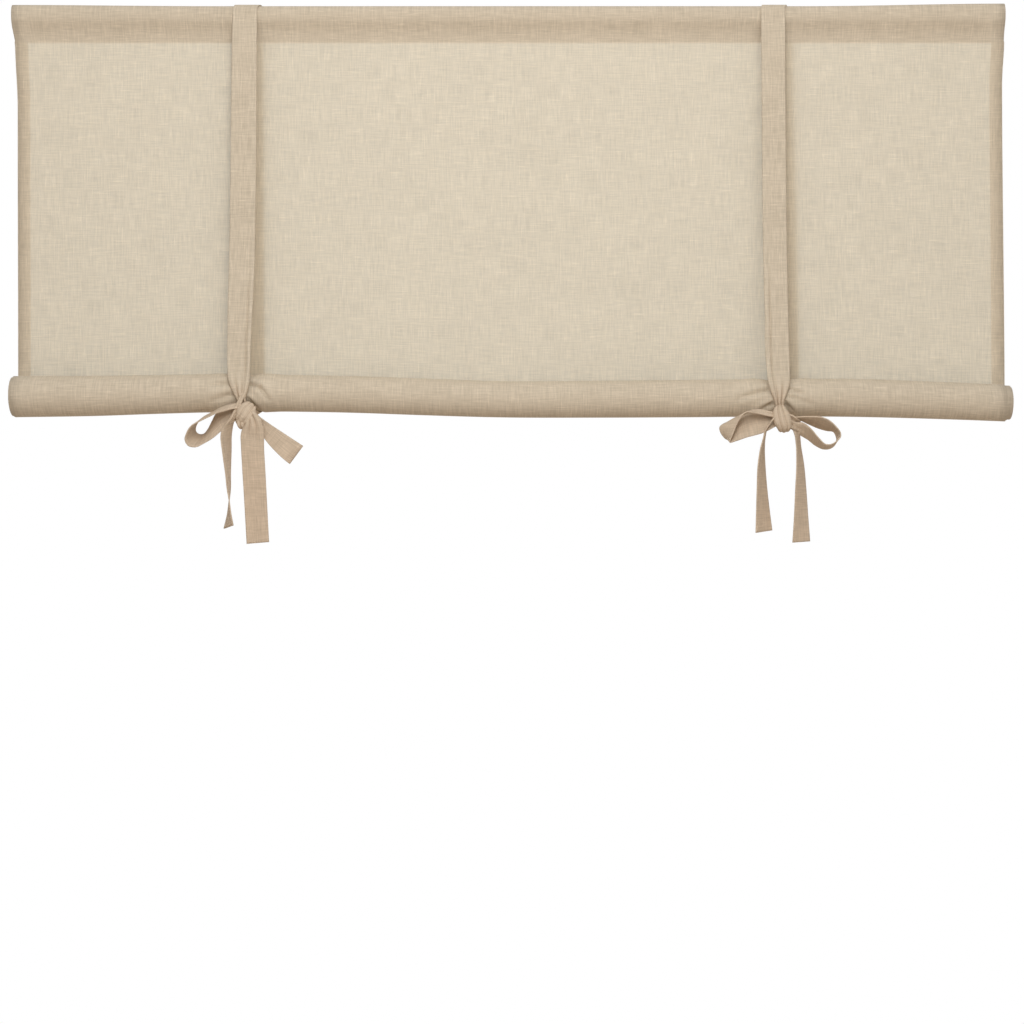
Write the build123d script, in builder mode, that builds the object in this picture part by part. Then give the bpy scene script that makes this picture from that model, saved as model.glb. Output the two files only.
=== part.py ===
from build123d import *
from math import acos, degrees
import os

# A cloth blind that is rolled up by hand and held at the wanted height by two tied straps.
# Millimetres, +Z up. The origin is the middle of the header tube's axis, +X runs along the tube
# and -Y faces the room.

# Cloth panel
blind_width = 1000.0
drop = 388.0  # header tube's axis down to the roll's axis
cloth_thickness = 0.6
pocket_pinch = 13.0  # tube's axis down to where the pocket's two layers meet
pocket_seam = 27.0  # tube's axis down to the pocket's sewn edge

# Roll at the foot of the panel
roll_diameter = 39.0
roll_overhang = 4.0  # how far the whole roll stands out at the left end
roll_edge_radius = 3.0
outer_turns = 3.0  # thickness of the turns that stay level with the panel's right edge
core_overhang = 6.0  # how far the turns inside them have crept out at the right end

# Header tube and bottom rod
tube_diameter = 16.0
tube_wall = 1.0
tube_inset = 5.0  # each end of the tube inside the pocket's end
rod_diameter = 10.0
rod_inset = 6.0  # each end of the rod inside the panel's edge

# Ties
tie_inset = 233.0  # panel's side to the middle of a strap
tie_width = 25.0
tie_thickness = 1.0
knot_width = 16.0
knot_height = 23.0
knot_depth = 13.0
knot_edge_radius = 5.0
loop_depth = 12.0  # front to back, of the open loop of a bow
flat_loop_depth = 3.0  # front to back, of the pressed loop of a bow

# Clear space between cloth and whatever it lies against
soft_clearance = 0.3

tube_radius = tube_diameter / 2
roll_radius = roll_diameter / 2
rod_hole_radius = rod_diameter / 2 + soft_clearance
pocket_radius = tube_radius + soft_clearance
pocket_outer_radius = pocket_radius + cloth_thickness
roll_axis = (-roll_radius, -drop)  # Y and Z: the panel runs down the back of the roll

# The pocket is a teardrop: round the tube, then two straight sides down to the pinch.
pinch_angle = degrees(acos(pocket_radius / pocket_pinch))

# Each bow in the front view. The knot's middle is measured from the strap's middle and the
# roll's axis, and the outlines of the loops and tails from the knot's middle.
ties = {
    "tie_left": {
        "strap_place": tie_inset - blind_width / 2,
        "knot_offset": (6.5, -17.0),
        "open_loop": {"middle": (-36.0, -12.0), "tilt": 31.0, "radii": (32.0, 13.0), "hole": (20.0, 6.0)},
        "flat_loop": [(2, 6), (54, -32), (40, -50), (2, -9)],
        "tails": [
            [(-4, 4), (-24, 2), (-27, -31), (-21, -91), (-25, -116), (-15, -116), (-17, -31), (-4, -4)],
            [(-6, -4), (-8, -31), (-4, -130), (19, -130), (14, -31), (7, -4)],
        ],
    },
    "tie_right": {
        "strap_place": blind_width / 2 - tie_inset,
        "knot_offset": (3.5, -22.5),
        "open_loop": {"middle": (32.0, -9.0), "tilt": -21.0, "radii": (29.0, 13.0), "hole": (17.0, 6.0)},
        "flat_loop": [(-2, 6), (-33, 9), (-62, -8), (-54, -24), (-18, -13), (-2, -7)],
        "tails": [
            [(-4, -2), (-16, -10), (-22, -26), (-27, -114), (-9, -114), (-16, -26), (-8, -11), (-4, -11)],
            [(4, -2), (13, -10), (19, -26), (30, -123), (10, -123), (12, -26), (5, -11)],
        ],
    },
}

os.makedirs("parts", exist_ok=True)


# Cloth panel: sewn pocket, single-layer panel and the roll, whose turns are one solid
with BuildPart() as fabric_panel:
    with BuildSketch(Plane.YZ) as section:
        with BuildLine():
            bulge = CenterArc((0, 0), pocket_radius, pinch_angle - 90, 360 - 2 * pinch_angle)
            Polyline(bulge @ 1, (0, -pocket_pinch), bulge @ 0)
        pocket_hollow = make_face(mode=Mode.PRIVATE)
        offset(pocket_hollow, amount=cloth_thickness, mode=Mode.ADD)
        with Locations((0, -pocket_pinch)):
            Rectangle(2 * cloth_thickness, pocket_seam - pocket_pinch, align=(Align.CENTER, Align.MAX))
            Rectangle(cloth_thickness, drop - pocket_pinch, align=(Align.MAX, Align.MAX))
        add(pocket_hollow, mode=Mode.SUBTRACT)
        with Locations(roll_axis):
            Circle(roll_radius)
            Circle(rod_hole_radius, mode=Mode.SUBTRACT)
    extrude(amount=blind_width / 2, both=True)
    with BuildSketch(Plane.YZ.offset(-blind_width / 2)) as left_end:
        with Locations(roll_axis):
            Circle(roll_radius)
            Circle(rod_hole_radius, mode=Mode.SUBTRACT)
    extrude(amount=-roll_overhang)
    roll_rim = fabric_panel.edges().filter_by(GeomType.CIRCLE).group_by(Axis.X)[0].sort_by(SortBy.RADIUS)[-1]
    fillet(roll_rim, radius=roll_edge_radius)
    with BuildSketch(Plane.YZ.offset(blind_width / 2)) as right_end:
        with Locations(roll_axis):
            Circle(roll_radius - outer_turns)
            Circle(rod_hole_radius, mode=Mode.SUBTRACT)
    extrude(amount=core_overhang)
fabric_panel.part.label = "fabric_panel"
export_step(fabric_panel.part, "parts/fabric_panel.step")


# Header tube: open at both ends, so that it slips over the pins of two wall brackets
with BuildPart() as header_tube:
    with BuildSketch(Plane.YZ) as tube_section:
        Circle(tube_radius)
        Circle(tube_radius - tube_wall, mode=Mode.SUBTRACT)
    extrude(amount=blind_width / 2 - tube_inset, both=True)
header_tube.part.label = "header_tube"
export_step(header_tube.part, "parts/header_tube.step")


# Bottom rod: a plain dowel in the middle of the roll
with BuildPart() as bottom_rod:
    with BuildSketch(Plane.YZ) as rod_section:
        with Locations(roll_axis):
            Circle(rod_diameter / 2)
    extrude(amount=blind_width / 2 - rod_inset, both=True)
bottom_rod.part.label = "bottom_rod"
export_step(bottom_rod.part, "parts/bottom_rod.step")


# Ties: each is one strap, taut over the header and round the roll, and tied in a bow in front
for name, tie_shape in ties.items():
    strap_plane = Plane.YZ.offset(tie_shape["strap_place"])
    knot_x = tie_shape["strap_place"] + tie_shape["knot_offset"][0]
    knot_y = -roll_diameter - soft_clearance  # the knot sits on the roll's lower front
    knot_z = tie_shape["knot_offset"][1] - drop
    bow_plane = Plane(origin=(knot_x, knot_y, knot_z), x_dir=(1, 0, 0), z_dir=(0, -1, 0))
    with BuildPart() as tie:
        with BuildSketch(strap_plane) as taut_loop:
            with BuildLine():
                CenterArc((0, 0), pocket_outer_radius + soft_clearance, 0, 360)
                CenterArc(roll_axis, roll_radius + soft_clearance, 0, 360)
            loop_hollow = make_hull(mode=Mode.PRIVATE)
            offset(loop_hollow, amount=tie_thickness, mode=Mode.ADD)
        extrude(amount=tie_width / 2, both=True)
        with BuildSketch(bow_plane) as knot_outline:
            RectangleRounded(knot_width, knot_height, knot_edge_radius)
        extrude(amount=knot_depth / 2, both=True)
        with BuildSketch(bow_plane) as open_loop_outline:
            loop = tie_shape["open_loop"]
            with Locations(Location(loop["middle"], loop["tilt"])):
                Ellipse(*loop["radii"])
                Ellipse(*loop["hole"], mode=Mode.SUBTRACT)
        extrude(amount=loop_depth / 2, both=True)
        with BuildSketch(bow_plane) as flat_loop_outline:
            with BuildLine():
                Polyline(*tie_shape["flat_loop"], close=True)
            make_face()
        extrude(amount=flat_loop_depth / 2, both=True)
        with BuildSketch(bow_plane) as tail_outlines:
            for tail in tie_shape["tails"]:
                with BuildLine():
                    Polyline(*tail, close=True)
                make_face()
        extrude(amount=tie_thickness / 2, both=True)
        with BuildSketch(strap_plane) as clear_space:
            add(loop_hollow)
        extrude(amount=blind_width, both=True, mode=Mode.SUBTRACT)
    tie.part.label = name
    export_step(tie.part, f"parts/{name}.step")
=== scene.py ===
# %% [markdown]
# # A cloth blind, rolled up and tied
#
# The blind is one sewn sheet of slubby, linen-like cloth. A pocket along its top holds a light
# tube, its lower part is rolled up towards the room, and two cloth ties hold the roll. The packed
# CAD model gives every size and place, and this script gives the cloth its real form and finish.

# %% Frame
import math

import bpy
import numpy as np
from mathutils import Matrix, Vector, noise


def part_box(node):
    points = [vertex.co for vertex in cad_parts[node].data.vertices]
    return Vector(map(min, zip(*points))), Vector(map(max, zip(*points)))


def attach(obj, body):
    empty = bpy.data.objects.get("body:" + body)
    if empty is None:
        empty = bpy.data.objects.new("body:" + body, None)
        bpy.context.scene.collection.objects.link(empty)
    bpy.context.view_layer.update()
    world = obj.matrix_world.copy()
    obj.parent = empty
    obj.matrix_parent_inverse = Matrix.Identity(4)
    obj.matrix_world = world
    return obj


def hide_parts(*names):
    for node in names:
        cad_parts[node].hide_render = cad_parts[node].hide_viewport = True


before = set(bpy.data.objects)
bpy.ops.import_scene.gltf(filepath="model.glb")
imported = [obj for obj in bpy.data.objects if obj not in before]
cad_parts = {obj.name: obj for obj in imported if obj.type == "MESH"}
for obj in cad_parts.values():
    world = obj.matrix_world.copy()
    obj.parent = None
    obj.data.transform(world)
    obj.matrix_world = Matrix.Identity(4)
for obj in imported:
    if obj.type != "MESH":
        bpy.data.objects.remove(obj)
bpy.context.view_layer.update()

# %% [markdown]
# ## Sizes
#
# Blender works in metres here. The CAD boxes say how thick the tube is and where the roll lies, so
# that the cloth is built round them and nothing has to be fitted afterwards.

# %% Sizes read from the frame
MM = 0.001
tube_low, tube_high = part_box("header_tube")
cloth_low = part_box("fabric_panel")[0]
rod_low, rod_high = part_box("bottom_rod")
tube_radius = (tube_high[2] - tube_low[2]) / 2
tube_half_length = (tube_high[0] - tube_low[0]) / 2
rod_radius = (rod_high[2] - rod_low[2]) / 2
roll_depth = -cloth_low[1]
roll_z = cloth_low[2] + roll_depth / 2
half_width = tube_half_length + 5 * MM  # the tube ends 5 mm inside the pocket
print(f"tube radius {tube_radius / MM:.1f} mm, roll {roll_depth / MM:.1f} mm thick at {roll_z / MM:.0f} mm")

# %% Sizes of the cloth
cloth_thickness = 0.5 * MM
slack = 0.3 * MM  # between the cloth and what it lies on
pocket_radius = tube_radius + slack + cloth_thickness / 2
pocket_seam = 27 * MM
hem_width = 12.5 * MM
core_radius = rod_radius + slack + cloth_thickness

# %% [markdown]
# ## Stage, light and camera
#
# The ground is plain white and the light is wide and soft. The world shows white to the camera but
# lights the cloth at less than that. A soft box high in front shapes the roll, a nearer one in the
# middle gives the ties their faint shadows, and one behind makes the single layer of cloth glow.

# %% Stage and world
white = (1, 1, 1)
warm_return = (0.575, 0.50, 0.43)  # what a warm floor gives back to the cloth from below
world_light = 0.56


def two_glows(tree, glow_kind, output_kind, given, seen):
    """A glow that gives one colour and strength as light, and shows another to the camera."""
    tree.nodes.clear()
    path = tree.nodes.new("ShaderNodeLightPath")
    choice = tree.nodes.new("ShaderNodeMixShader")
    tree.links.new(path.outputs["Is Camera Ray"], choice.inputs[0])
    for socket, (colour, strength) in ((1, given), (2, seen)):
        glow = tree.nodes.new(glow_kind)
        glow.inputs["Color"].default_value = (*colour, 1)
        glow.inputs["Strength"].default_value = strength
        tree.links.new(glow.outputs[0], choice.inputs[socket])
    end = tree.nodes.new(output_kind)
    tree.links.new(choice.outputs[0], end.inputs["Surface"])


world = bpy.data.worlds.new("studio")
bpy.context.scene.world = world
world.use_nodes = True
two_glows(world.node_tree, "ShaderNodeBackground", "ShaderNodeOutputWorld",
          (white, world_light), (white, 1.0))

floor_drop, floor_size = 1.35, 14.0
bpy.ops.mesh.primitive_plane_add(size=floor_size, location=(0, 0, -floor_drop))
floor = bpy.context.object
floor.name = "floor"
pale = bpy.data.materials.new("pale_floor")
pale.use_nodes = True
two_glows(pale.node_tree, "ShaderNodeEmission", "ShaderNodeOutputMaterial", (warm_return, 1.0), (white, 1.0))
floor.data.materials.append(pale)
bpy.context.scene.view_settings.view_transform = "Standard"

# %% Soft boxes
def soft_box(name, place, aim, width, height, power):
    lamp = bpy.data.lights.new(name, "AREA")
    lamp.shape, lamp.size, lamp.size_y, lamp.energy = "RECTANGLE", width, height, power
    box = bpy.data.objects.new(name, lamp)
    box.location = place
    box.rotation_euler = (Vector(aim) - Vector(place)).to_track_quat("-Z", "Y").to_euler()
    box.visible_camera = False
    bpy.context.scene.collection.objects.link(box)
    return box


blind_middle = (0, 0, roll_z / 2)
soft_box("high_front", (0, -1.9, 1.0), blind_middle, 2.4, 1.0, 21)
soft_box("near_middle", (0, -1.25, 0.0), blind_middle, 0.35, 0.35, 4.0)
soft_box("behind", (0, 1.25, -0.1), blind_middle, 0.8, 0.6, 8.3)

# %% Camera
view_distance = 2.08
view_drop = 0.5042  # the camera stands level, this far below the tube
lens_mm = 72.07
camera = bpy.data.objects.new("camera", bpy.data.cameras.new("camera"))
camera.data.lens = lens_mm
camera.data.sensor_width = 36
camera.location = (2 * MM, -view_distance, -view_drop)
camera.rotation_euler = (math.radians(90), 0, 0)
bpy.context.scene.collection.objects.link(camera)
bpy.context.scene.camera = camera
print("camera", tuple(round(c, 3) for c in camera.location))

# %% [markdown]
# ## Writing materials as arithmetic
#
# A woven surface is easier to describe as sums than as wires. `Signal` wraps a socket, so that a
# plus or a minus adds a Math node. `Finish` holds a material and adds every other kind of node.

# %% Signal and Finish
class Signal:
    """A number that changes over a surface. Arithmetic on it adds Math nodes."""

    def __init__(self, finish, socket):
        self.finish, self.socket = finish, socket

    def math(self, operation, *values):
        return self.finish.node("ShaderNodeMath", {"operation": operation}, dict(enumerate(values)))

    def __add__(self, other):
        return self.math("ADD", self, other)

    def __sub__(self, other):
        return self.math("SUBTRACT", self, other)

    def __rsub__(self, other):
        return self.math("SUBTRACT", other, self)

    def __mul__(self, other):
        return self.math("MULTIPLY", self, other)

    __radd__ = __add__
    __rmul__ = __mul__

    def step(self, start, end):
        """0 before start, 1 after end, and smooth between."""
        settings = {"interpolation_type": "SMOOTHSTEP"}
        sockets = {"Value": self, "From Min": start, "From Max": end}
        return self.finish.node("ShaderNodeMapRange", settings, sockets)


class Finish:
    """One material, built node by node."""

    def __init__(self, name):
        self.material = bpy.data.materials.new(name)
        self.material.use_nodes = True
        self.tree = self.material.node_tree
        self.tree.nodes.clear()

    def node(self, kind, settings=None, sockets=None, output=0):
        """Adds a node, sets its settings first and its sockets next, and returns one output or the node."""
        made = self.tree.nodes.new(kind)
        for name, value in (settings or {}).items():
            setattr(made, name, value)
        for name, value in (sockets or {}).items():
            if isinstance(value, Signal):
                self.tree.links.new(value.socket, made.inputs[name])
            else:
                made.inputs[name].default_value = value
        return made if output is None else Signal(self, made.outputs[output])

    def close(self, shader):
        self.node("ShaderNodeOutputMaterial", sockets={"Surface": shader}, output=None)
        return self.material


# %% [markdown]
# ## The cloth's finish
#
# The cloth is a plain weave of uneven yarns. Each yarn swells and thins along its length, so the
# cloth shows short light and dark streaks both ways, and a few lighter slubs. Every streak is noise
# that is stretched along one yarn direction, on a UV map that is in metres along the cloth. Light
# passes through, so a Translucent shader is mixed in, and less of it where the cloth is double. The
# single cloth's colour is also painted lighter, for the light that shines through it, and the ties'
# colour is painted shade at their knots and tails.

# %% Cloth finish
yarn_pitch = 0.75 * MM
streak_width = 1.3 * MM
streak_length = 22 * MM
slub_width, slub_length = 1.9 * MM, 20 * MM  # the few thick places of a yarn
cloud_width, cloud_length = 60 * MM, 45 * MM  # slow changes of tone over the whole cloth
# how much each of them changes the tone, and how far the whole tone is lowered
warp_tone, weft_tone, cloudy_tone, crossing_tone, slub_tone, tone_drop = 0.85, 0.75, 0.13, 0.04, 0.2, 0.015
dark_streak, light_streak = (0.74, 0.73, 0.71), (1.26, 1.27, 1.29)
bump_depth = 0.35 * MM


def stretched_noise(finish, flat, across, along, detail, offset):
    """Noise whose grains are across by along metres, on the flat cloth."""
    scaled = finish.node(
        "ShaderNodeVectorMath", {"operation": "MULTIPLY_ADD"},
        {0: flat, 1: (1 / across, 1 / along, 0), 2: (offset, offset * 1.7, 0)},
    )
    sockets = {"Vector": scaled, "Scale": 1.0, "Detail": detail, "Roughness": 0.6}
    return finish.node("ShaderNodeTexNoise", {"noise_dimensions": "2D"}, sockets)


def cloth_finish(name, single, double_and_painted_light, through_colour, single_share, double_share):
    """Slub weave. A point attribute mixes the two colours and the two shares of light through: on the panel
    it is 0 on single cloth, whose colour is painted lighter for the light that shines through it, and 1 where
    the cloth lies in two layers; on the ties it rises at the knots and tails, whose colour there is painted
    shade.
    """
    f = Finish(name)
    flat = f.node("ShaderNodeUVMap", {"uv_map": "cloth"})
    across, along = (f.node("ShaderNodeSeparateXYZ", {}, {0: flat}, output=k) for k in (0, 1))
    warp = stretched_noise(f, flat, streak_width, streak_length, 3, 3.1)
    weft = stretched_noise(f, flat, streak_length, streak_width, 3, 7.7)
    cloudy = stretched_noise(f, flat, cloud_width, cloud_length, 2, 1.3)
    warp_crown = (across * (math.pi / yarn_pitch)).math("SINE", across * (math.pi / yarn_pitch))
    weft_crown = (along * (math.pi / yarn_pitch)).math("SINE", along * (math.pi / yarn_pitch))
    crossing = warp_crown.math("ABSOLUTE", warp_crown * weft_crown)
    warp_slubs = stretched_noise(f, flat, slub_width, slub_length, 1, 5.5).step(0.66, 0.78)
    weft_slubs = stretched_noise(f, flat, slub_length, slub_width, 1, 9.2).step(0.66, 0.78)
    tone = (warp - 0.5) * warp_tone + (weft - 0.5) * weft_tone + (cloudy - 0.5) * cloudy_tone
    tone = tone + (crossing - 0.4) * crossing_tone + (warp_slubs + weft_slubs) * slub_tone - tone_drop
    layers_and_painted_light = f.node("ShaderNodeAttribute", {"attribute_name": "layers_and_painted_light"}, output=2)
    # the base colour: the single cloth's with its painted glow, the two-layer cloth's, and painted shade at
    # the ties' knots and tails
    colour_with_painted_light = f.node("ShaderNodeMix", {"data_type": "RGBA"},
                  {0: layers_and_painted_light, 6: (*single, 1), 7: (*double_and_painted_light, 1)}, output=2)
    streak = f.node("ShaderNodeMix", {"data_type": "RGBA"},
                    {0: tone + 0.5, 6: (*dark_streak, 1), 7: (*light_streak, 1)}, output=2)
    shade = f.node("ShaderNodeVectorMath", {"operation": "MULTIPLY"}, {0: colour_with_painted_light, 1: streak})
    height = crossing * 0.35 + (warp + weft) * 0.9 + (warp_slubs + weft_slubs) * 0.3
    bump = f.node("ShaderNodeBump", {}, {"Strength": 0.45, "Distance": bump_depth, "Height": height})
    solid = f.node("ShaderNodeBsdfPrincipled", {}, {
        "Base Color": shade, "Roughness": 0.92, "Normal": bump,
        "Specular IOR Level": 0.18, "Sheen Weight": 0.03, "Sheen Roughness": 0.5,
    })
    glow = f.node("ShaderNodeBsdfTranslucent", {}, {"Color": (*through_colour, 1), "Normal": bump})
    share = single_share + layers_and_painted_light * (double_share - single_share)
    return f.close(f.node("ShaderNodeMixShader", {}, {0: share, 1: solid, 2: glow}))


thick_colour = (0.60, 0.508, 0.387)
# painted glow: the single cloth's colour is made lighter, for the light that shines through it from behind
thin_colour_with_painted_glow = (0.87, 0.712, 0.52)
light_through = (0.66, 0.78, 0.84)
panel_cloth = cloth_finish("panel_cloth", thin_colour_with_painted_glow, thick_colour, light_through, 0.42, 0.08)
# painted shade: the ties take this darker, warmer colour at their knots and along their tails
tie_painted_shade_colour = (0.58, 0.456, 0.335)
tie_cloth = cloth_finish("tie_cloth", thick_colour, tie_painted_shade_colour, light_through, 0.08, 0.03)
print("cloth finishes:", panel_cloth.name, tie_cloth.name)

# %% [markdown]
# ## Smooth lines through a few points
#
# Cloth has few features, so its lines are set by a handful of points that a smooth curve passes
# through. The same helper bends the roll, the header and every ribbon of the bows.

# %% Smooth curves
def through(places, values, at):
    """Values at the places in at, on a smooth curve through the given ones."""
    places, values, at = np.asarray(places, float), np.asarray(values, float), np.asarray(at, float)
    if values.ndim == 1:
        return through(places, values[:, None], at)[:, 0]
    slopes = np.gradient(values, places, axis=0)
    span = np.clip(np.searchsorted(places, at, side="right") - 1, 0, len(places) - 2)
    width = places[span + 1] - places[span]
    t = np.clip((at - places[span]) / width, 0, 1)[:, None]
    width = width[:, None]
    rise, run = 3 * t**2 - 2 * t**3, t * (1 - t) ** 2
    return (values[span] * (1 - rise) + values[span + 1] * rise
            + slopes[span] * run * width - slopes[span + 1] * t**2 * (1 - t) * width)


def ease(value, start, end):
    """0 before start, 1 after end, smooth between. start may be the larger."""
    t = np.clip((value - start) / (end - start), 0, 1)
    return t * t * (3 - 2 * t)


# %% [markdown]
# ## How the roll hangs
#
# The ties lift the roll where they pass round it, and it sags in the middle and at its right end.
# The left end is wound more loosely, so it is thicker.

# %% Roll's line and thickness
roll_shape = np.array([
    # along the blind, height above the CAD roll's axis, radius, all in millimetres
    (-506, -0.2, 21.2), (-412, 0.7, 20.6), (-362, 1.9, 20.0), (-310, 3.2, 19.7), (-267, 3.8, 19.3),
    (-200, 3.0, 18.8), (-150, 2.0, 18.9), (-100, 0.2, 18.9), (-10, -2.6, 18.7), (90, -2.6, 19.0),
    (180, -2.0, 19.2), (267, -1.2, 19.3), (342, -1.3, 19.5), (440, -4.2, 19.1), (508, -6.8, 18.9),
]) * MM


def roll_at(x):
    """Height of the roll's middle and its radius, at places along the blind."""
    shape = through(roll_shape[:, 0], roll_shape[:, 1:], x)
    return roll_z + shape[:, 0], shape[:, 1]


tie_places = {"tie_left": -267 * MM, "tie_right": 268 * MM}
for name, place in tie_places.items():
    middle, radius = roll_at(np.array([place]))
    print(f"{name}: roll middle {middle[0] * 1000:.1f} mm, radius {radius[0] * 1000:.1f} mm")

# %% [markdown]
# ## The cloth's section
#
# Seen from the end, the cloth is one line: up the back of the pocket, over the tube, down the
# front, down the panel, and round and round into the roll. Each point of the line says where it
# is, which way the cloth faces there, and how far along the cloth it lies.

# %% Pocket and panel line
def pocket_line():
    """Y and Z from the pocket's back edge, over the tube, to the seam in front."""
    leave = math.radians(-4)
    angles = np.linspace(leave, math.pi - leave, 40)
    arc = np.stack([np.cos(angles), np.sin(angles)], 1) * pocket_radius
    half_gap = cloth_thickness * 0.55
    side = np.array([(8.35, 4.2), (7.3, 8.0), (5.5, 11.5), (3.7, 15.0), (2.2, 18.8), (1.1, 22.6)]) * MM
    back = np.concatenate(([(half_gap, -pocket_seam)], (side * (1, -1))[::-1]))
    front = np.concatenate((side * (-1, -1), [(-half_gap, -pocket_seam)]))
    return np.concatenate((back, arc, front))


pocket_row_count = 48
line = pocket_line()
length = np.concatenate(([0], np.cumsum(np.linalg.norm(np.diff(line, axis=0), axis=1))))
pocket_rows = through(length, line, np.linspace(0, length[-1], pocket_row_count))
panel_drop = -roll_z - pocket_seam
print(f"pocket takes {length[-1] * 1000:.0f} mm of cloth")

# %% [markdown]
# ## Where the ties pinch
#
# A taut tie sinks into the roll, and the cloth beside it swells and creases towards the knot. The
# creases are short lines in the front view, each a groove that fades along its length.

# %% Pinches and creases
pinch_depth, pinch_width, swell = 2.2 * MM, 13 * MM, 1.0 * MM
creases = [
    # from x, z to x, z, depth, width, all in millimetres
    (-259, -376, -249, -381, 4.4, 1.9), (-249, -381, -241, -392, 3.8, 2.0),
    (-281, -376, -299, -379, 3.2, 2.1), (-279, -388, -298, -393, 2.2, 2.6),
    (-262, -393, -250, -404, 3.6, 2.0),
    (258, -382, 229, -391, 3.8, 2.1), (277, -382, 293, -387, 4.4, 1.9),
    (262, -397, 250, -402, 3.8, 2.0), (273, -396, 284, -406, 4.2, 2.1),
    (279, -389, 300, -396, 2.0, 2.6),
]


def roll_relief(x, z, inward):
    """How far the roll's surface stands out, at places along it. inward is 0 behind and 1 in front."""
    out = np.zeros_like(x)
    for place in tie_places.values():
        near = (x - place) / pinch_width
        out -= pinch_depth * np.exp(-near**4) * inward
        out += swell * np.exp(-((np.abs(near) - 1.9) / 0.7) ** 2) * inward
    for x0, z0, x1, z1, depth, width in np.array(creases) * MM:
        run = np.array((x1 - x0, z1 - z0))
        share = np.clip(((x - x0) * run[0] + (z - z0) * run[1]) / (run @ run), 0, 1)
        away = np.hypot(x - x0 - share * run[0], z - z0 - share * run[1])
        below = ((x - x0) * run[1] - (z - z0) * run[0]) * np.sign(run[0]) > 0
        lip = 0.5 * np.exp(-(((away - 2.3 * width) / (1.3 * width)) ** 2)) * np.where(below, 0.3, 1)
        out += depth * (lip - np.exp(-((away / width) ** 2))) * (1 - 0.7 * share) * inward
    return out


# %% [markdown]
# ## The cloth as a grid
#
# Rows follow the line of the section and columns run along the blind, closer together near the
# ties. The turns inside the roll show only at its ends, so they keep a few of the columns. A
# Solidify modifier gives the sheet its thickness afterwards.

# %% Columns and rows
def column_places():
    places = [-half_width]
    while places[-1] < half_width:
        nearest = min(abs(places[-1] - place) for place in tie_places.values())
        places.append(places[-1] + 1.7 * MM + 7.0 * MM * ease(nearest, 30 * MM, 75 * MM))
    places = np.array(places) * half_width / places[-1]
    places[0] = -half_width
    for edge in (-half_width + hem_width, half_width - hem_width):
        at = np.argmin(np.abs(places - edge))
        places = np.concatenate((places[:at], [edge - 0.3 * MM, edge + 0.3 * MM], places[at + 1:]))
    return places


columns = column_places()
kept = [-500, -496, -488, -470, -430, -360, -150, 0, 150, 360, 430, 470, 488, 496, 500]
kept += [place / MM + side for place in tie_places.values() for side in (-45, -28, -18, -9, 0, 9, 18, 28, 45)]
kept_columns = sorted({int(np.argmin(np.abs(columns - k * MM))) for k in kept})
turns = 14
fine_turns = 1.25  # the outer turns, which keep every column
panel_row_count, fine_row_count, inner_row_count = 44, 92, 310
# the panel's rows lie closer together near the header and the roll
panel_shares = ease(np.linspace(0.04, 0.97, panel_row_count), 0, 1)
panel_shares = (panel_shares - panel_shares[0]) / (panel_shares[-1] - panel_shares[0])
fine_angles = np.linspace(0, 2 * math.pi * fine_turns, fine_row_count)[1:]
inner_angles = np.linspace(2 * math.pi * fine_turns, 2 * math.pi * turns, inner_row_count)[1:]
print(f"{len(columns)} columns, {len(kept_columns)} of them kept inside the roll")


# %% Points of the cloth
end_zone = 40 * MM  # how far in from each end the cloth gives


def end_shift(x, left, right):
    """Shifts the sheet's two ends along the blind by left and right, and nothing in between."""
    inner = half_width - end_zone
    return left * ease(x, -inner, -half_width) + right * ease(x, inner, half_width)


def left_edge(z):
    """The left edge stands out at the header, where the pocket isn't hemmed, and hangs in below it."""
    return (1.0 - 2.6 * ease(z, -34 * MM, -10 * MM) - 2.6 * ease(z, -95 * MM, -26 * MM)) * MM


def right_edge(z):
    """The right edge draws in below the header and out again towards the roll."""
    return (0.8 - 2.2 * ease(z, -25 * MM, -70 * MM) + 2.6 * ease(z, -80 * MM, -380 * MM)) * MM


def pocket_points(x):
    """Rows of the header pocket, a little rippled and raised at its two ends."""
    rows = []
    for y, z in pocket_rows:
        ripple = np.array([noise.noise((v * 9, z * 60, 2.0)) for v in x]) * 0.25 * MM
        lift = (1.2 * ease(x, -0.3, -0.5) + 2.6 * ease(x, 0.3, 0.5)) * MM * ease(z, -2 * MM, 8 * MM)
        rows.append(np.stack([x + end_shift(x, left_edge(z), right_edge(z)), y - np.abs(ripple) * np.sign(-y),
                              z + lift], 1))
    return rows


def panel_points(x):
    """Rows of the hanging panel, down to the roll's middle behind, where the winding starts."""
    rows = []
    middle = roll_at(x)[0]
    start_y = pocket_rows[-1][0]
    for share in panel_shares[1:]:
        z = -pocket_seam - share * (-middle - pocket_seam)
        ripple = np.array([noise.noise((v * 6, share * 1.6, 5.0)) for v in x])
        y = start_y + (-cloth_thickness / 2 - start_y) * share - 1.2 * MM * ripple * math.sin(math.pi * share)
        hanging_z = -pocket_seam - share * panel_drop
        shift = end_shift(x, left_edge(hanging_z) + 0.6 * share * MM, right_edge(hanging_z))
        rows.append(np.stack([x + shift, y, z], 1))
    return rows


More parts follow.
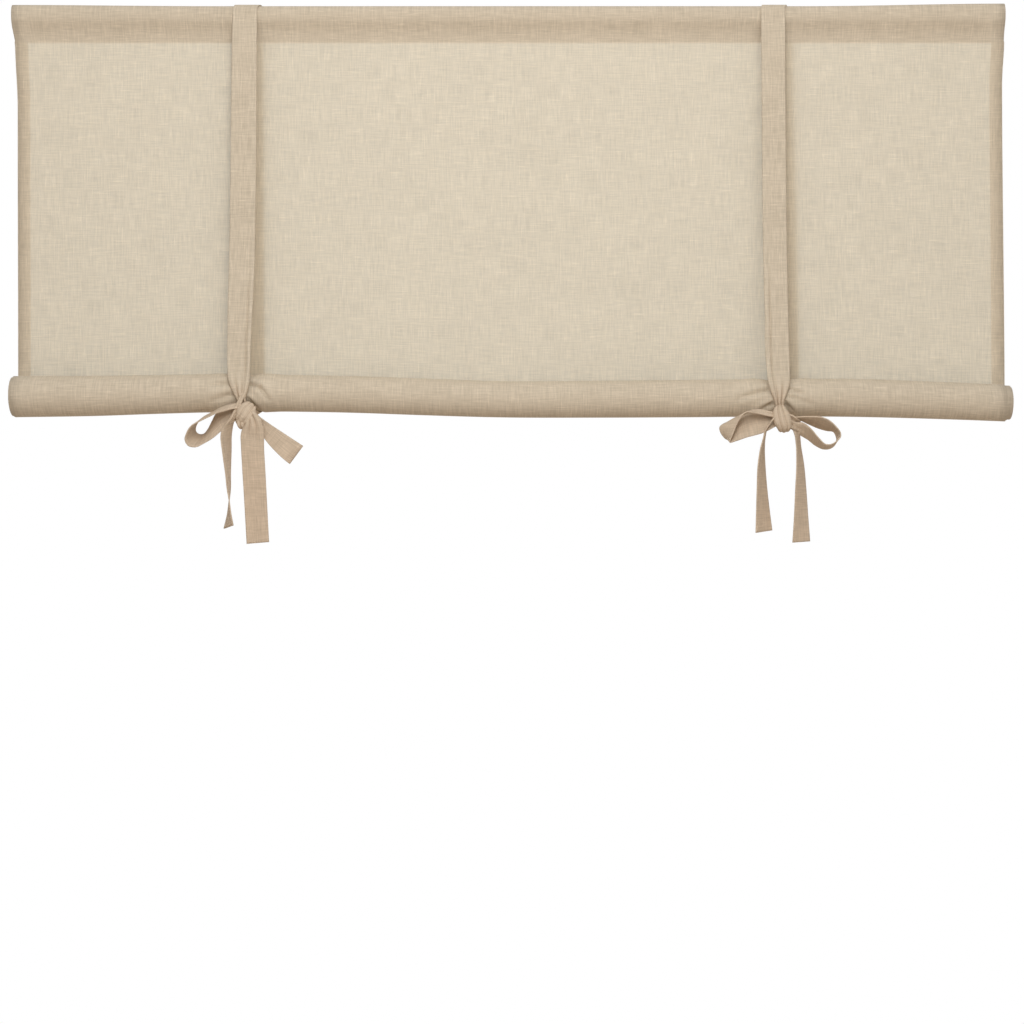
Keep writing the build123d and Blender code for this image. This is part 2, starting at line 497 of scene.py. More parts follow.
def roll_points(x, angles):
    """Rows of the wound cloth. The turns don't end in line, as on any blind rolled up by hand."""
    rows = []
    middle, radius = roll_at(x)
    for angle in angles:
        turn = angle / (2 * math.pi)
        pitch = (radius - cloth_thickness / 2 - core_radius) / turns
        reach = radius - cloth_thickness / 2 - pitch * turn
        y, z = -radius + reach * math.cos(angle), middle - reach * math.sin(angle)
        inward = ease(-math.cos(angle), -0.5, 0.35)
        reach = reach + roll_relief(x, z, inward) * (reach / radius) ** 1.5
        y, z = -radius + reach * math.cos(angle), middle - reach * math.sin(angle)
        wander = 0.5 * MM * math.sin(2.4 * turn + 0.7)
        left = (3.6 * ease(turn, 0, 0.3) - 3.4 * (1 - math.exp(-turn / 1.1))) * MM + wander
        right = (0.9 - 4.9 * ease(turn, 0, 0.4) + 6.2 * ease(turn, 0.8, 1.9)) * MM + wander * ease(turn, 1, 3)
        rows.append(np.stack([x + end_shift(x, left, right), y, z], 1))
    return rows


fine_rows = np.array(pocket_points(columns) + panel_points(columns) + roll_points(columns, fine_angles))
inner_rows = np.array(roll_points(columns[kept_columns], inner_angles))
print("fine rows", fine_rows.shape, "inner rows", inner_rows.shape)


# %% Mesh of the cloth
# a hem face's share of the two-layer cloth's colour and light through; the rest is the single cloth's colour,
# painted lighter for the light that shines through it
hem_front, hem_back = 0.45, 0.2  # how double a hem's two faces look, from 0 to 1


def add_uv(mesh, flat):
    """A UV map named cloth, in metres, from a place on the flat cloth for each vertex."""
    layer = mesh.uv_layers.new(name="cloth")
    corners = np.empty(len(mesh.loops), int)
    mesh.loops.foreach_get("vertex_index", corners)
    layer.data.foreach_set("uv", np.asarray(flat, float)[corners].ravel())


def grid_faces(rows, cols, start=0):
    grid = start + np.arange(rows * cols).reshape(rows, cols)
    return np.stack([grid[:-1, :-1], grid[1:, :-1], grid[1:, 1:], grid[:-1, 1:]], -1).reshape(-1, 4).tolist()


def cloth_mesh():
    row_count, col_count = fine_rows.shape[:2]
    inner_start = row_count * col_count
    faces = grid_faces(row_count, col_count)
    faces += grid_faces(len(inner_rows), len(kept_columns), inner_start)
    last = (row_count - 1) * col_count
    for k, (a, b) in enumerate(zip(kept_columns[:-1], kept_columns[1:])):
        edge = [last + c for c in range(b, a - 1, -1)]
        faces.append(edge + [inner_start + k, inner_start + k + 1])
    middle = col_count // 2
    steps = np.linalg.norm(np.diff(fine_rows[:, middle], axis=0), axis=1)
    along = np.concatenate(([0], np.cumsum(steps)))
    inner_steps = np.linalg.norm(np.diff(inner_rows[:, len(kept_columns) // 2], axis=0), axis=1)
    inner_along = along[-1] + inner_steps[0] + np.concatenate(([0], np.cumsum(inner_steps)))
    flat = [(x, v) for v in along for x in columns]
    flat += [(columns[c], v) for v in inner_along for c in kept_columns]
    # The mixing attribute is 1 on the pocket, in the roll and where the panel nears the roll, hem_front on
    # the hems' front faces, and 0 on the rest of the single cloth, whose colour is painted lighter for the
    # light that shines through it.
    single = np.zeros((row_count, col_count))
    first, end = len(pocket_rows), len(pocket_rows) + len(panel_shares) - 1
    z = fine_rows[first:end, :, 2]
    near_roll = ease(z - roll_at(columns)[0], 12 * MM, 2 * MM)
    in_hem = hem_front * (np.abs(columns) > half_width - hem_width)
    single[first:end] = 1 - np.maximum(near_roll, in_hem)
    layers_and_painted_light = np.concatenate((1 - single.ravel(), np.ones(inner_rows.shape[0] * inner_rows.shape[1])))
    points = np.concatenate((fine_rows.reshape(-1, 3), inner_rows.reshape(-1, 3)))
    print(f"cloth is {inner_along[-1]:.3f} m long")
    return points, faces, flat, layers_and_painted_light, inner_along[-1]


points, faces, flat, layers_and_painted_light, cloth_length = cloth_mesh()


# %% [markdown]
# ## Side hems
#
# Each side of the panel is folded to the back and sewn down. The fold is a narrow strip behind the
# panel that turns over its edge, so that the edge is really double when seen from the side.

# %% Side hems
def hem_strip(side):
    """Points of one hem, folded from the panel's edge to its back."""
    column = 0 if side < 0 else -1
    first, end = len(pocket_rows) - 1, len(pocket_rows) + len(panel_shares) - 1
    edge = fine_rows[first:end, column]
    # how far out from the edge and how far behind the panel, in millimetres
    fold = [(0.25, 0.0), (0.45, 0.35), (0.1, 0.75), (-3.0, 0.8), (-9.0, 0.8), (-12.2, 0.75)]
    strip = np.array([edge + np.array((side * out, back, 0)) for out, back in np.array(fold) * MM])
    strip = strip.transpose(1, 0, 2)
    return strip if side < 0 else strip[:, ::-1]


hem_points, hem_faces, hem_flat = [], [], []
for side in (-1, 1):
    strip = hem_strip(side)
    hem_faces += grid_faces(*strip.shape[:2], start=len(points) + sum(len(p) for p in hem_points))
    hem_points.append(strip.reshape(-1, 3))
    hem_flat += [(p[0], -p[2]) for p in strip.reshape(-1, 3)]
all_points = np.concatenate([points] + hem_points)
cloth_data = bpy.data.meshes.new("cloth_panel")
cloth_data.from_pydata(all_points.tolist(), [], faces + hem_faces)
add_uv(cloth_data, flat + hem_flat)
double_and_painted_light = cloth_data.attributes.new("layers_and_painted_light", "FLOAT", "POINT")
hem_layers_and_painted_light = np.full(len(all_points) - len(points), hem_back)
double_and_painted_light.data.foreach_set("value", np.concatenate((layers_and_painted_light, hem_layers_and_painted_light)))
cloth_data.shade_smooth()
cloth = bpy.data.objects.new("cloth_panel", cloth_data)
bpy.context.scene.collection.objects.link(cloth)
cloth_data.materials.append(panel_cloth)
wall = cloth.modifiers.new("thickness", "SOLIDIFY")
wall.thickness, wall.offset = cloth_thickness, 0
print("cloth faces:", len(cloth_data.polygons))

# %% [markdown]
# ## Stitches
#
# One seam runs along the header's band and one down each side hem. A seam is a line of short
# threads, so Geometry Nodes puts a small bead at every step of a line. The beads are made real, and
# the result is kept as one plain mesh.

# %% Stitch tree
stitch_pitch, stitch_length, thread_width = 3.2 * MM, 2.5 * MM, 0.42 * MM


def stitch_tree(material):
    tree = bpy.data.node_groups.new("running_stitch", "GeometryNodeTree")
    face = tree.interface
    face.new_socket("Geometry", in_out="INPUT", socket_type="NodeSocketGeometry")
    face.new_socket("Geometry", in_out="OUTPUT", socket_type="NodeSocketGeometry")
    for name in ("Pitch", "Length", "Thread"):
        face.new_socket(name, in_out="INPUT", socket_type="NodeSocketFloat")

    def node(kind, settings=None, links=None):
        made = tree.nodes.new(kind)
        for key, value in (settings or {}).items():
            setattr(made, key, value)
        for key, value in (links or {}).items():
            if isinstance(value, bpy.types.NodeSocket):
                tree.links.new(value, made.inputs[key])
            else:
                made.inputs[key].default_value = value
        return made

    given = node("NodeGroupInput").outputs
    curve = node("GeometryNodeMeshToCurve", links={"Mesh": given["Geometry"]})
    spaced = node("GeometryNodeResampleCurve", {"mode": "LENGTH"},
                  {"Curve": curve.outputs[0], "Length": given["Pitch"]})
    bead = node("GeometryNodeMeshUVSphere", links={"Segments": 6, "Rings": 4, "Radius": 0.5})
    size = node("ShaderNodeCombineXYZ", links={0: given["Length"], 1: given["Thread"], 2: given["Thread"]})
    wobble = node("FunctionNodeRandomValue", {"data_type": "FLOAT_VECTOR"}, {
        "Min": (-0.05, -0.05, -0.07), "Max": (0.05, 0.05, 0.07), "Seed": 4})
    turn = node("FunctionNodeAlignRotationToVector", {"axis": "X"},
                {"Vector": node("GeometryNodeInputTangent").outputs[0]})
    leaned = node("FunctionNodeRotateRotation", links={"Rotation": turn.outputs[0]})
    tree.links.new(wobble.outputs[0], leaned.inputs[1])
    placed = node("GeometryNodeInstanceOnPoints", links={
        "Points": spaced.outputs[0], "Instance": bead.outputs[0],
        "Rotation": leaned.outputs[0], "Scale": size.outputs[0]})
    real = node("GeometryNodeRealizeInstances", links={0: placed.outputs[0]})
    finished = node("GeometryNodeSetMaterial", links={"Geometry": real.outputs[0]})
    finished.inputs["Material"].default_value = material
    tree.links.new(finished.outputs[0], node("NodeGroupOutput").inputs[0])
    return tree


# %% Thread finish
def thread_finish():
    f = Finish("seam_thread")
    place = f.node("ShaderNodeTexCoord", output=3)
    tone = f.node("ShaderNodeTexNoise", {}, {"Vector": place, "Scale": 900.0, "Detail": 2.0})
    shade = f.node("ShaderNodeMix", {"data_type": "RGBA"},
                   {0: tone, 6: (0.62, 0.53, 0.41, 1), 7: (0.80, 0.72, 0.58, 1)}, output=2)
    return f.close(f.node("ShaderNodeBsdfPrincipled", {}, {"Base Color": shade, "Roughness": 0.8}))


# %% Seam lines
def seam_lines():
    """The lines that the seams follow, just proud of the cloth on both of its faces."""
    lines = []
    header_z = -pocket_seam + 4 * MM
    proud = cloth_thickness + 0.12 * MM
    xs = np.linspace(-half_width + 2 * MM, half_width - 2 * MM, 60)
    for side in (-1, 1):
        lines.append(np.stack([xs, np.full_like(xs, side * proud), np.full_like(xs, header_z)], 1))
    first, end = len(pocket_rows) + 2, len(pocket_rows) + len(panel_shares) - 4
    for side in (-1, 1):
        column = int(np.argmin(np.abs(columns - side * (half_width - 10.5 * MM))))
        front = fine_rows[first:end, column] + np.array((0, -cloth_thickness / 2 - 0.05 * MM, 0))
        lines.append(front)
        lines.append(front + np.array((0, 1.45 * MM, 0)))
    return lines


def line_object(name, lines):
    """One object whose mesh is the given lines, as edges without faces."""
    data = bpy.data.meshes.new(name)
    points, edges = [], []
    for line in lines:
        edges += [(len(points) + k, len(points) + k + 1) for k in range(len(line) - 1)]
        points += line.tolist()
    data.from_pydata(points, edges, [])
    made = bpy.data.objects.new(name, data)
    bpy.context.scene.collection.objects.link(made)
    return made


seams = line_object("seam_stitches", seam_lines())
stitching = seams.modifiers.new("stitches", "NODES")
stitching.node_group = stitch_tree(thread_finish())
sockets = {i.name: i.identifier for i in stitching.node_group.interface.items_tree if i.in_out == "INPUT"}
for name, value in (("Pitch", stitch_pitch), ("Length", stitch_length), ("Thread", thread_width)):
    stitching[sockets[name]] = value
evaluated = seams.evaluated_get(bpy.context.evaluated_depsgraph_get())
stitch_mesh = bpy.data.meshes.new_from_object(evaluated)
seams.modifiers.clear()
seams.data = stitch_mesh
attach(seams, "root")
print("stitch faces:", len(stitch_mesh.polygons))

# %% Cloth declared
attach(cloth, "root")
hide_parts("fabric_panel")

# %% [markdown]
# ## Ribbons
#
# A tie is one narrow ribbon, folded double and sewn, and it keeps its width wherever it goes. Where
# it is drawn together, as at a knot, the width that is lost goes into pleats. So a ribbon is set by
# the places of its two edges, and its pleats are worked out.

# %% Ribbon from its two edges
tie_width = 24.5 * MM
tie_thickness = 1.1 * MM
across_points = 25
across_shares = np.linspace(0, 1, across_points)


def ribbon_grid(left, right, normal, fold, pleats, crown):
    """Points of a ribbon between two edges. fold scales the pleats, and crown bends the edges back."""
    t = across_shares[None, :, None]
    base = left[:, None] * (1 - t) + right[:, None] * t
    width = np.linalg.norm(right - left, axis=1)
    height = fold * np.sqrt(np.maximum(tie_width**2 - width**2, 0)) / (2 * pleats)
    rise = height[:, None] * np.abs(np.sin(math.pi * pleats * across_shares)) ** 0.8
    rise = rise - crown * np.abs(2 * across_shares - 1) ** 3
    return base + rise[:, :, None] * normal[:, None]


def ribbon_from_stations(stations, knot, pleats=2, crown=0.0, spacing=2.0):
    """A ribbon through stations: left u, v, depth; right u, v, depth; fold. All from the knot's middle."""
    table = np.array(stations, float)
    middle = (table[:, :3] + table[:, 3:6]) / 2
    chord = np.concatenate(([0], np.cumsum(np.linalg.norm(np.diff(middle, axis=0), axis=1) + 0.3)))
    rows = through(chord, table, np.linspace(0, chord[-1], max(8, int(chord[-1] / spacing))))
    place = np.array(knot)

    def edge(part):
        return place + np.stack([part[:, 0], -part[:, 2], part[:, 1]], 1) * MM

    left, right = edge(rows[:, :3]), edge(rows[:, 3:6])
    along = np.gradient((left + right) / 2, axis=0)
    normal = np.cross(along, right - left)
    normal /= np.linalg.norm(normal, axis=1)[:, None] + 1e-9
    return ribbon_grid(left, right, normal, rows[:, 6], pleats, crown * MM)


# %% [markdown]
# ## The band of a tie
#
# The band goes round everything: from the knot up the front, over the header, down behind the panel
# and round under the roll, back to the knot. It is pulled tight, so between the header and the roll
# it is straight, and it touches both at a tangent.

# %% Band round header and roll
groove_depth = 2.2 * MM
groove_share = 0.045  # half its width, as a share of the tie's


def band_grid(place, front, back, low_edges, groove):
    """front and back give height, left and right edge in millimetres down each leg of the band.
    groove is the share of the width where the front leg is creased lengthways."""
    middle, radius = (v[0] for v in roll_at(np.array([place])))
    over_tube = pocket_radius + cloth_thickness / 2 + slack + tie_thickness / 2
    over_roll = radius + slack + tie_thickness / 2
    centre = np.array((-radius, middle))
    span, bearing = np.hypot(*centre), math.atan2(centre[1], centre[0])

    def reach(angle):
        return over_roll - pinch_depth * ease(-math.cos(angle), -0.5, 0.35)

    leave_front = bearing - math.acos((over_tube - reach(math.pi)) / span) + 2 * math.pi
    leave_back = bearing + math.acos((over_tube - reach(0)) / span)
    turns_at = {
        "roll_front": np.linspace(math.radians(226), leave_front, 22),
        "tube": np.linspace(leave_front, leave_back, 26),
        "roll_back": np.linspace(leave_back, math.radians(-128), 40),
    }
    rows = {}
    for part, angles in turns_at.items():
        sizes = over_tube if part == "tube" else np.array([reach(a) for a in angles])
        normals = np.stack([np.cos(angles), np.sin(angles)], 1)
        start = np.zeros(2) if part == "tube" else centre
        rows[part] = (start + normals * np.reshape(sizes, (-1, 1)) * np.ones((len(angles), 1)), normals)
    front_edges = through(*[np.array(front)[::-1][:, k] for k in (0, slice(1, 3))], [0])[0]
    back_edges = through(*[np.array(back)[::-1][:, k] for k in (0, slice(1, 3))], [0])[0]
    pieces = []

    def add(points, normals, edges):
        pieces.append(np.concatenate((points, normals, edges * MM), axis=1))

    def leg(table, heights):
        table = np.array(table, float)[::-1]
        return through(table[:, 0], table[:, 1:3], heights / MM)

    points, normals = rows["roll_front"]
    add(points, normals, leg(front, points[:, 1]))
    shares = np.linspace(0, 1, 62)[1:-1, None]
    run = points[-1] * (1 - shares) + rows["tube"][0][0] * shares
    add(run, np.repeat(normals[-1:], len(run), 0), leg(front, run[:, 1]))
    points, normals = rows["tube"]
    blend = ease(np.linspace(0, 1, len(points)), 0, 1)[:, None]
    add(points, normals, front_edges * (1 - blend) + back_edges * blend)
    run = points[-1] * (1 - shares) + rows["roll_back"][0][0] * shares
    run_edges = leg(back, run[:, 1])
    add(run, np.repeat(normals[-1:], len(run), 0), run_edges)
    points, normals = rows["roll_back"]
    blend = ease(np.linspace(0, 1, len(points)), 0.35, 1)[:, None]
    add(points, normals, run_edges[-1] * (1 - blend) + np.array(low_edges) * blend)
    all_rows = np.concatenate(pieces)
    left = np.stack([all_rows[:, 4], all_rows[:, 0], all_rows[:, 1]], 1)
    right = np.stack([all_rows[:, 5], all_rows[:, 0], all_rows[:, 1]], 1)
    normal = np.stack([np.zeros(len(all_rows)), all_rows[:, 2], all_rows[:, 3]], 1)
    fold = ease(tie_width - np.abs(all_rows[:, 5] - all_rows[:, 4]), 1.2 * MM, 5 * MM)
    grid = ribbon_grid(left, right, normal, fold * 0.95, 3, 0.0)
    height = all_rows[:, 1]
    in_front = ease(normal[:, 1], -0.5, -0.8)
    in_front = in_front * ease(height, -220 * MM, -320 * MM) * ease(height, -402 * MM, -385 * MM)
    crease = 1 - np.exp(-(((across_shares - groove) / groove_share) ** 2))
    lift = groove_depth * in_front[:, None] * crease[None]
    return grid + lift[:, :, None] * normal[:, None]


# %% [markdown]
# ## Knots and bows
#
# Each tie ends in a bow: a knot, one loop that stands open, one that lies flatter, and two tails.
# The tails turn as they hang, so a tail that is wide at its end is narrow where it leaves the knot.
# Each table row holds the left edge, the right edge and how far the pleats are pulled together.

# %% Left bow
left_knot = (-260.5 * MM, -37 * MM, -406.2 * MM)
left_ribbons = {
    "crossing_tail": dict(pleats=2, stations=[
        (-3.5, 33, 2.2, 1.2, 33, 2.4, 0.10), (-4.5, 26, 2.6, -0.5, 26, 3.0, 0.12),
        (-8.0, 17, 4.0, -3.6, 18, 4.4, 0.15), (-12.2, 7, 6.0, -6.8, 9, 6.4, 0.15),
        (-17.5, -4, 6.5, -10.5, -1, 4.0, 0.2), (-25.0, -14, 7.0, -15.0, -8, -1.0, 0.1),
        (-26.4, -22, 8.5, -17.6, -18, -6.0, 0), (-24.6, -38, 10, -18.6, -36, -9, 0),
        (-21.4, -60, 11, -19.4, -58, -10, 0), (-19.5, -76, 12, -19.7, -76, -11, 0),
        (-17.8, -86, 12, -20.9, -86, -11.5, 0), (-16.1, -99, 12, -22.8, -101, -11, 0),
        (-13.8, -111.4, 11.5, -26.0, -114.6, -10.5, 0)]),
    "open_loop": dict(pleats=2, stations=[
        (-1, 7, 2, -2, 2, 3, 0.2), (-11.0, 9.8, 2.5, -12, 4.5, 8, 0.15), (-19, 8.8, 2, -21, 2.2, 14, 0.05),
        (-27, 6.2, 1, -28.5, 0.2, 17, 0), (-36, 1.6, -2, -37.5, -4.0, 18, 0),
        (-45.8, -3.3, -5, -47, -8.6, 17, 0), (-52.2, -9.2, -7, -55.0, -13.2, 16, 0),
        (-54.3, -14.8, -8, -59.2, -19.5, 15, 0), (-53.2, -18.6, -8, -61.2, -26.5, 14.5, 0),
        (-50.2, -20.4, -8, -58.2, -32.0, 14.5, 0), (-45.6, -20.0, -8, -51.0, -33.6, 14, 0),
        (-41.6, -15.6, -7, -43.5, -30.2, 13, 0), (-37.2, -7.4, -6, -34.5, -24.6, 10, 0),
        (-32.5, 0.8, -5, -26.0, -17.0, 7, 0.05), (-21, 6.5, -3, -16, -9.0, 3, 0.15),
        (-8, 6.0, -1, -6, -4.0, 1, 0.2)]),
    "flat_loop": dict(pleats=2, stations=[
        (2, 4, 3, 0, -4, 3, 0.2), (9, -1.6, 4, 6, -9, 4, 0.2), (15.5, -6.4, 4, 10.6, -16.5, 3, 0.12),
        (24, -12.1, 3, 16.0, -25.0, 2.5, 0.06), (38.5, -21.6, 2.5, 25.8, -36.6, 2, 0),
        (52.6, -30.9, 1.5, 38.8, -48.5, 1, 0), (54.2, -32.0, 0.2, 40.8, -50.0, 0, 0),
        (52.8, -31.4, -2.0, 39.5, -49.0, -2.4, 0), (38.5, -22.0, -4, 26.4, -37.0, -5, 0),
        (22, -11.2, -5, 14.6, -23.0, -6, 0), (9, -3.0, -4, 7, -10.0, -4, 0.1), (3, 0, -2, 2, -6, -2, 0.2)]),
    "wide_tail": dict(pleats=3, stations=[
        (0, 0, 4, 4, 4, 5, 0.3), (-1.0, -6, 6.5, 8, 0.5, 8.5, 0.6), (-2.4, -11.0, 7.5, 12.6, -5, 10, 0.8),
        (-5.0, -15.5, 7, 15.4, -13.5, 9, 0.8), (-6.9, -22, 6.0, 15.9, -24, 6, 0.6),
        (-6.8, -32, 5, 15.9, -34, 4, 0.3), (-6.1, -52, 3, 16.7, -52, 2, 0.1),
        (-4.8, -76, 1.5, 17.8, -76, 0.5, 0), (-3.4, -104, 0, 19.0, -103, -1, 0),
        (-2.1, -129.8, -1, 20.2, -128, -2, 0)]),
    "knot_wrap": dict(pleats=3, crown=3.5, spacing=1.0, stations=[
        (-3, 8, -3, 5, 2, -3, 0.2), (-1.2, 12.6, 1.5, 8.2, 4.8, 1.5, 0.35),
        (-4.2, 11.8, 6, 8.4, -0.4, 6.5, 0.5),
        (-9.0, 7.4, 8.6, 5.6, -6.2, 9.6, 0.55), (-12.2, 1.0, 8.2, 1.6, -10.2, 8.8, 0.55),
        (-13.0, -4.8, 5, -3.0, -12.2, 4.8, 0.4), (-11, -8.6, 0, -4, -12.0, 0, 0.25),
        (-6, -5, -3, -1, -8, -3, 0.2)]),
    "knot_lump": dict(pleats=2, crown=2.5, spacing=1.0, stations=[
        (-9, -3, -1, -2, -4, -1, 0.2), (-12, -6.0, 4, -3, -8, 5, 0.4),
        (-11.4, -10.0, 5.5, -2.2, -12.6, 5.5, 0.5),
        (-8.6, -12.6, 2.5, -2.6, -14.4, 2.0, 0.4), (-6, -11.5, -2, -2.5, -12, -2, 0.2)]),
}

# %% Right bow
right_knot = (270.4 * MM, -37 * MM, -411.6 * MM)
right_ribbons = {
    "left_tail": dict(pleats=2, stations=[
        (-3.0, 5, 8, 2.0, 9, 7, 0.1), (-8.5, 0.5, 9.5, -4.2, 5.5, 9.0, 0.12),
        (-13.4, -5, 10, -9.6, -0.5, 7, 0.12), (-17.4, -12, 10, -14.6, -9.5, 3, 0.05),
        (-19.2, -20, 9.5, -15.9, -19, -3, 0), (-21.6, -29, 9, -15.9, -29, -8, 0),
        (-24.1, -45, 9, -15.1, -45, -10, 0), (-25.1, -69, 8.5, -13.2, -69, -10, 0),
        (-25.7, -92, 8, -10.7, -91.5, -9.5, 0), (-26.2, -113.3, 7, -8.2, -111, -8.5, 0)]),
    "right_tail": dict(pleats=2, stations=[
        (4, 0, 2, 8, 2, 2, 0.15), (8.5, -7, 4, 14.5, -7, 2, 0.15), (12.4, -15, 5, 18.2, -15, -2, 0.08),
        (14.0, -25, 6, 20.2, -26, -7, 0), (14.4, -45, 7, 23.6, -45, -9.5, 0),
        (13.2, -70, 7.5, 25.9, -70, -9.5, 0), (12.1, -95, 7.5, 27.6, -95, -9, 0),
        (10.4, -123, 7, 29.6, -122, -8, 0)]),
    "open_loop": dict(pleats=2, stations=[
        (3, 2, 3, 3, -2, 3, 0.2), (10, 1.4, 6, 11, -1.8, 2, 0.15), (18, 1.8, 11, 19, -1.2, -2, 0.05),
        (27, 1.8, 15, 27.5, -4.6, -4, 0), (37.6, 1.1, 16, 37.6, -8.8, -6, 0),
        (46.2, -2.7, 16, 46.5, -11.2, -7, 0),
        (52.4, -8.4, 15, 52.8, -12.0, -8, 0), (56.4, -13.4, 14, 55.2, -14.8, -9, 0),
        (56.8, -18.2, 13.5, 56.6, -19.8, -9, 0), (53.0, -22.6, 13, 54.8, -25.2, -9, 0),
        (47.8, -25.6, 13, 49.8, -29.0, -8, 0), (42.4, -25.6, 13, 43.6, -29.6, -8, 0),
        (35.4, -19.4, 13, 35.4, -26.2, -7, 0), (27.2, -9.6, 12, 27.4, -20.2, -6, 0),
        (20.6, -4.0, 8, 19.0, -15.6, -3, 0.1), (10, -3, 3, 9, -9, 0, 0.2), (4, -2, 2, 3, -6, 1, 0.2)]),
    "turned_loop": dict(pleats=2, spacing=1.6, stations=[
        (-3, 5, 2, -3, 2, 4, 0.2), (-13, 7.6, 2.5, -12, 2.2, 7, 0.2), (-22, 9.4, 2.5, -22, 4.2, 11, 0.08),
        (-30, 8.6, 2.5, -29, 5.8, 13, 0), (-40.0, 4.4, 2.0, -36.0, 6.4, 14, 0),
        (-52.6, -2.4, -1.5, -42.0, 1.6, 15, 0),
        (-61.0, -8.0, -3, -46.8, -7.6, 15.5, 0), (-58.0, -16.2, -4, -50.8, -17.4, 15.5, 0),
        (-53.6, -19.8, -6, -53.0, -22.8, 14.5, 0), (-47.5, -5.5, -4, -46.8, -22.2, 13, 0),
        (-37.5, 3.6, -4, -35.8, -18.6, 8.5, 0), (-19, 5.5, -3, -17.5, -13.2, 6, 0.1),
        (-6, 4, -1, -6, -7, 4, 0.2)]),
    "knot_wrap": dict(pleats=3, crown=3.0, spacing=1.0, stations=[
        (-5, 5, -3, 3, 7, -3, 0.3), (-5.4, 12, 0, 2.6, 13.8, 0, 0.4), (-8.6, 9.5, 5.6, 4.4, 10.6, 6, 0.55),
        (-9.4, 2, 8.4, 7.4, 4.2, 8.8, 0.6), (-7.8, -5.2, 9.0, 9.4, -3.4, 9.2, 0.6),
        (-5.0, -10.0, 6.5, 9.8, -8.8, 6.5, 0.55), (-3.4, -11.8, 1, 8.0, -11.6, 1, 0.4),
        (-2, -7, -3, 4, -7, -3, 0.2)]),
    "knot_side": dict(pleats=2, crown=2.5, spacing=1.0, stations=[
        (5, 4, 0, 3, -4, 1, 0.2), (9.0, 3.6, 5, 6.5, -7.5, 6, 0.4), (12.6, 1.5, 5.5, 10.5, -9.6, 5, 0.45),
        (16.2, -1.4, 3, 14.6, -11.4, 1, 0.4), (17, -3.4, -1, 15, -9.6, -3, 0.2)]),
}

# %% Bands
bands = {
    "tie_left": dict(
        front=[(12, -280.0, -255.3), (0, -280.2, -255.5), (-60, -280.6, -255.4), (-200, -280.8, -255.2),
               (-280, -281.4, -256.2), (-320, -281.8, -257.8), (-360, -281.4, -259.2),
               (-374, -280.2, -259.6), (-384, -276.0, -261.5), (-391, -271.8, -263.4),
               (-397, -269.6, -261.6), (-410, -268, -259)],
        back=[(12, -274.2, -249.6), (0, -274.0, -249.4), (-200, -273.6, -249.2), (-380, -273.2, -248.8),
              (-420, -273.2, -248.8)],
        low_edges=(-268, -256), groove=0.8),
    "tie_right": dict(
        front=[(12, 253.2, 277.8), (0, 253.4, 277.8), (-60, 253.6, 277.4), (-300, 254.2, 277.6),
               (-360, 255.6, 278.4), (-376, 257.4, 278.4), (-386, 260.4, 275.8), (-394, 263.6, 272.8),
               (-400, 264.8, 273.4), (-415, 266, 275)],
        back=[(12, 258.8, 283.2), (0, 259.4, 283.8), (-100, 262.0, 286.4), (-200, 264.8, 289.2),
              (-380, 268.6, 293.0), (-420, 269.2, 293.6)],
        low_edges=(265, 278), groove=0.24),
}


# %% Tie meshes
# painted shade: the ties' colour turns darker and warmer over these heights in millimetres, at the knots and
# again along the tails
knot_shade_heights, tail_shade_heights = (-365, -400), (-425, -465)


def tie_object(name, grids):
    """Joins ribbon grids into one mesh of cloth, with its UV map in metres. Returns its length too."""
    points, faces, flat = [], [], []
    total = 0.0
    for grid in grids:
        rows, cols = grid.shape[:2]
        faces += grid_faces(rows, cols, start=len(points))
        along = np.concatenate(([0], np.cumsum(np.linalg.norm(np.diff(grid.mean(axis=1), axis=0), axis=1))))
        flat += [(t * tie_width, total + v) for v in along for t in across_shares]
        points += grid.reshape(-1, 3).tolist()
        total += along[-1]
    data = bpy.data.meshes.new(name)
    data.from_pydata(points, [], faces)
    add_uv(data, flat)
    double_and_painted_light = data.attributes.new("layers_and_painted_light", "FLOAT", "POINT")
    heights = np.array(points)[:, 2] / MM
    # painted shade, three quarters of it at the knots and the last quarter along the tails
    hanging = 0.75 * ease(heights, *knot_shade_heights) + 0.25 * ease(heights, *tail_shade_heights)
    double_and_painted_light.data.foreach_set("value", hanging)
    data.shade_smooth()
    data.materials.append(tie_cloth)
    made = bpy.data.objects.new(name, data)
    bpy.context.scene.collection.objects.link(made)
    wall = made.modifiers.new("thickness", "SOLIDIFY")
    wall.thickness, wall.offset = tie_thickness, 0
    return made, total


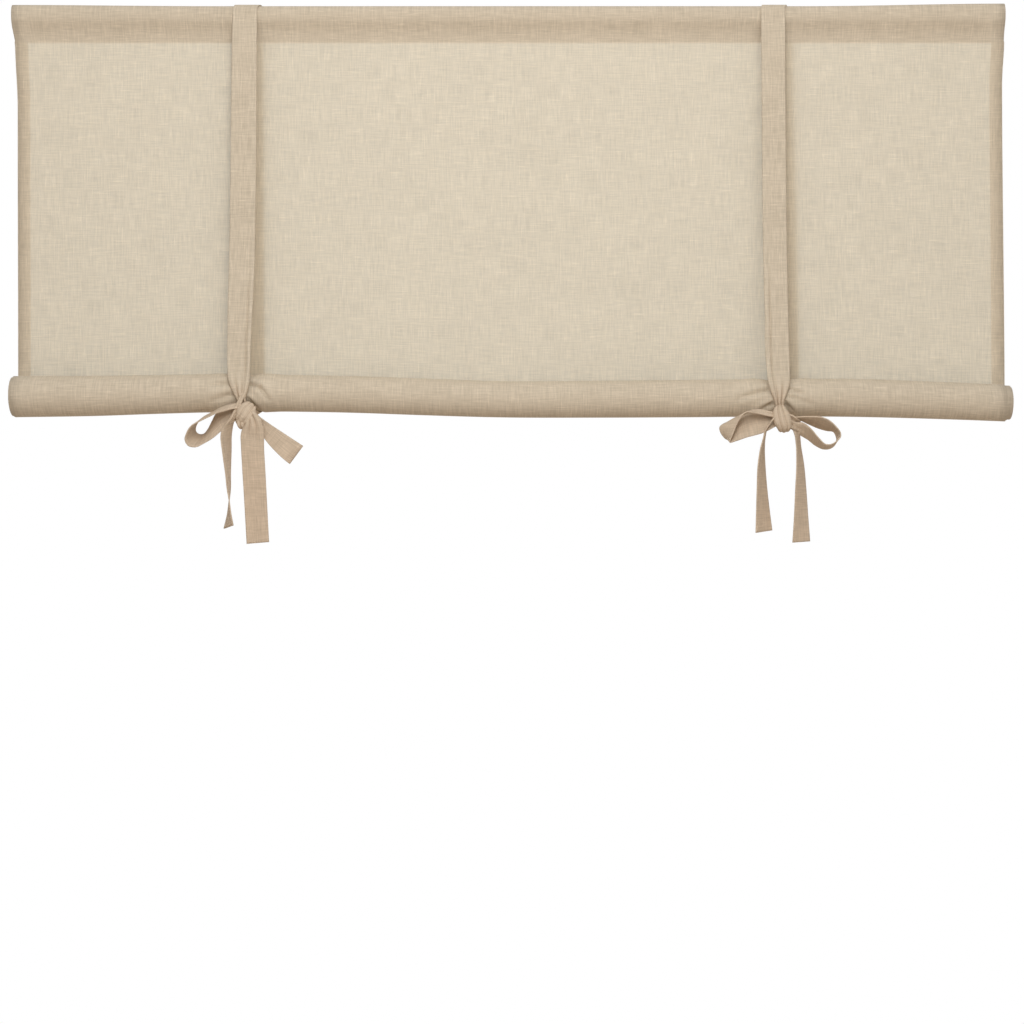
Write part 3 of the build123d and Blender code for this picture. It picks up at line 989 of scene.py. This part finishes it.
for node, knot, ribbons in (("tie_left", left_knot, left_ribbons), ("tie_right", right_knot, right_ribbons)):
    grids = [band_grid(tie_places[node], **bands[node])]
    grids += [ribbon_from_stations(knot=knot, **ribbon) for ribbon in ribbons.values()]
    tie, tie_length = tie_object(node + "_ribbon", grids)
    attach(tie, "root")
    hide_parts(node)
    print(f"{node}: {tie_length * 1000:.0f} mm of ribbon")

# %% [markdown]
# ## Tube and rod
#
# The tube in the header and the rod in the roll stay as the CAD made them. They show only at the
# ends of their pockets, where the tube is drawn aluminium and the rod is turned wood.

# %% Tube and rod finishes
def metal_finish():
    f = Finish("drawn_aluminium")
    place = f.node("ShaderNodeTexCoord", output=3)
    lines = f.node("ShaderNodeVectorMath", {"operation": "MULTIPLY"}, {0: place, 1: (6, 900, 900)})
    tone = f.node("ShaderNodeTexNoise", {}, {"Vector": lines, "Scale": 1.0, "Detail": 3.0})
    shade = f.node("ShaderNodeMix", {"data_type": "RGBA"},
                   {0: tone, 6: (0.52, 0.53, 0.54, 1), 7: (0.78, 0.79, 0.80, 1)}, output=2)
    bump = f.node("ShaderNodeBump", {}, {"Strength": 0.2, "Distance": 0.05 * MM, "Height": tone})
    return f.close(f.node("ShaderNodeBsdfPrincipled", {}, {
        "Base Color": shade, "Metallic": 1.0, "Roughness": tone * 0.2 + 0.28, "Normal": bump}))


def wood_finish():
    f = Finish("pale_wood")
    place = f.node("ShaderNodeTexCoord", output=3)
    grain_place = f.node("ShaderNodeVectorMath", {"operation": "MULTIPLY"}, {0: place, 1: (14, 420, 420)})
    grain = f.node("ShaderNodeTexNoise", {}, {"Vector": grain_place, "Scale": 1.0, "Detail": 5.0})
    shade = f.node("ShaderNodeMix", {"data_type": "RGBA"},
                   {0: grain, 6: (0.40, 0.25, 0.13, 1), 7: (0.72, 0.54, 0.34, 1)}, output=2)
    bump = f.node("ShaderNodeBump", {}, {"Strength": 0.3, "Distance": 0.1 * MM, "Height": grain})
    return f.close(f.node("ShaderNodeBsdfPrincipled", {}, {
        "Base Color": shade, "Roughness": 0.55, "Normal": bump}))


for node, finish in (("header_tube", metal_finish()), ("bottom_rod", wood_finish())):
    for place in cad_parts[node].material_slots:
        place.material = finish
    print(node, "gets", finish.name)
